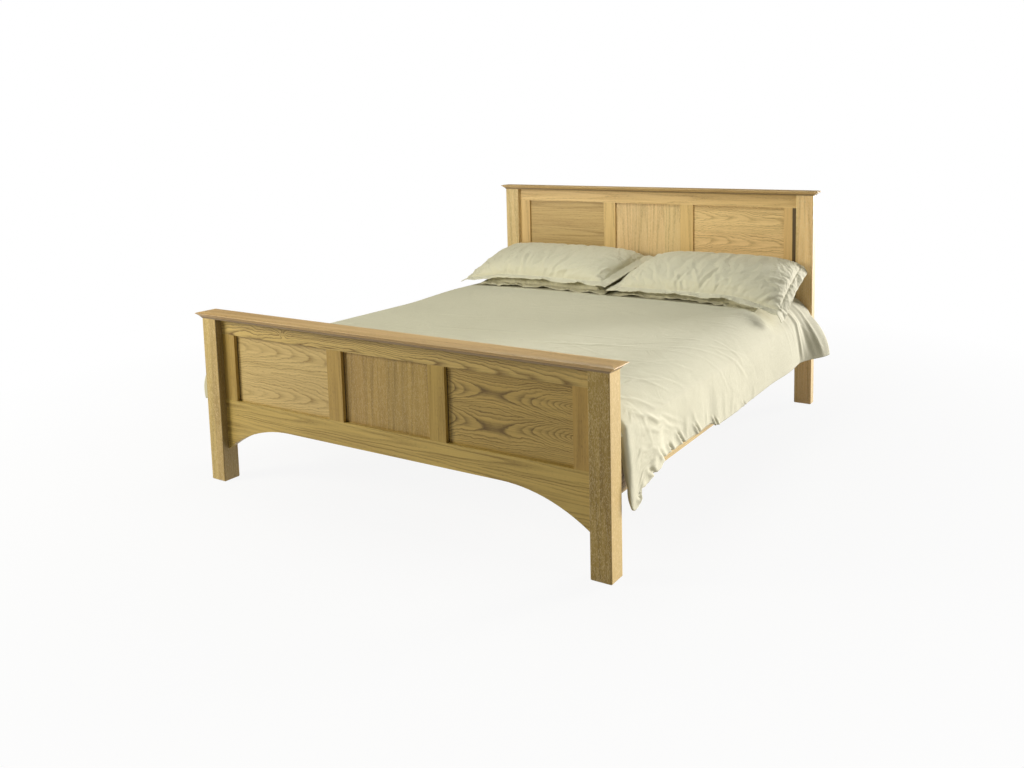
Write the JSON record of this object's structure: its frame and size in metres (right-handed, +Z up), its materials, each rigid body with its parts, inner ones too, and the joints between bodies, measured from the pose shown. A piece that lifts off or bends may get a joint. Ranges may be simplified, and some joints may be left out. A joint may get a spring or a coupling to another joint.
{
  "type": "panel bed",
  "caption": "Wooden bed with panelled headboard and arched, panelled footboard under moulded caps, side rails and slats, made up with mattress, duvet and stacked pillows.",
  "frame": {"origin": "on the floor under the middle of the bed frame's plan outline", "axes": "+Z up; +Y from the footboard to the headboard; +X across the bed, to the right as seen from the foot"},
  "size_m": [2.161, 2.196, 1.117],
  "materials": {
    "oak": "satin",
    "slat_wood": "matte",
    "zinc_steel": "satin",
    "ticking": "matte",
    "duvet_cotton": "matte",
    "pillow_cotton": "matte"
  },
  "bodies": {
    "frame": {"centre_bracket_foot": "zinc_steel", "centre_bracket_head": "zinc_steel", "centre_leg_foot": "oak", "centre_leg_head": "oak", "centre_rail": "oak", "foot_bottom_rail": "oak", "foot_cap": "oak", "foot_muntin_left": "oak", "foot_muntin_right": "oak", "foot_panel_centre": "oak", "foot_panel_left": "oak", "foot_panel_right": "oak", "foot_post_left": "oak", "foot_post_right": "oak", "foot_stile_left": "oak", "foot_stile_right": "oak", "foot_top_rail": "oak", "head_bottom_rail": "oak", "head_cap": "oak", "head_muntin_left": "oak", "head_muntin_right": "oak", "head_panel_centre": "oak", "head_panel_left": "oak", "head_panel_right": "oak", "head_post_left": "oak", "head_post_right": "oak", "head_stile_left": "oak", "head_stile_right": "oak", "head_top_rail": "oak", "rail_nuts": "zinc_steel", "rail_studs": "zinc_steel", "rail_washers": "zinc_steel", "side_rail_left": "oak", "side_rail_right": "oak", "slat_01": "slat_wood", "slat_02": "slat_wood", "slat_03": "slat_wood", "slat_04": "slat_wood", "slat_05": "slat_wood", "slat_06": "slat_wood", "slat_07": "slat_wood", "slat_08": "slat_wood", "slat_09": "slat_wood", "slat_10": "slat_wood", "slat_11": "slat_wood", "slat_12": "slat_wood", "slat_ledger_left": "oak", "slat_ledger_right": "oak"},
    "mattress": {"mattress": "ticking"},
    "duvet": {"duvet": "duvet_cotton"},
    "pillow_left_lower": {"pillow_left_lower": "pillow_cotton"},
    "pillow_left_upper": {"pillow_left_upper": "pillow_cotton"},
    "pillow_right_lower": {"pillow_right_lower": "pillow_cotton"},
    "pillow_right_upper": {"pillow_right_upper": "pillow_cotton"}
  },
  "joints": [
    {"name": "mattress_lift", "type": "slide", "parent": "frame", "child": "mattress", "axis": [0, 0, 1], "range_m": [0, 0.3]},
    {"name": "duvet_lift", "type": "slide", "parent": "mattress", "child": "duvet", "axis": [0, 0, 1], "range_m": [0, 0.3]},
    {"name": "pillow_left_lower_lift", "type": "slide", "parent": "duvet", "child": "pillow_left_lower", "axis": [0, 0, 1], "range_m": [0, 0.25]},
    {"name": "pillow_left_upper_lift", "type": "slide", "parent": "pillow_left_lower", "child": "pillow_left_upper", "axis": [0, 0, 1], "range_m": [0, 0.25]},
    {"name": "pillow_right_lower_lift", "type": "slide", "parent": "duvet", "child": "pillow_right_lower", "axis": [0, 0, 1], "range_m": [0, 0.25]},
    {"name": "pillow_right_upper_lift", "type": "slide", "parent": "pillow_right_lower", "child": "pillow_right_upper", "axis": [0, 0, 1], "range_m": [0, 0.25]}
  ]
}
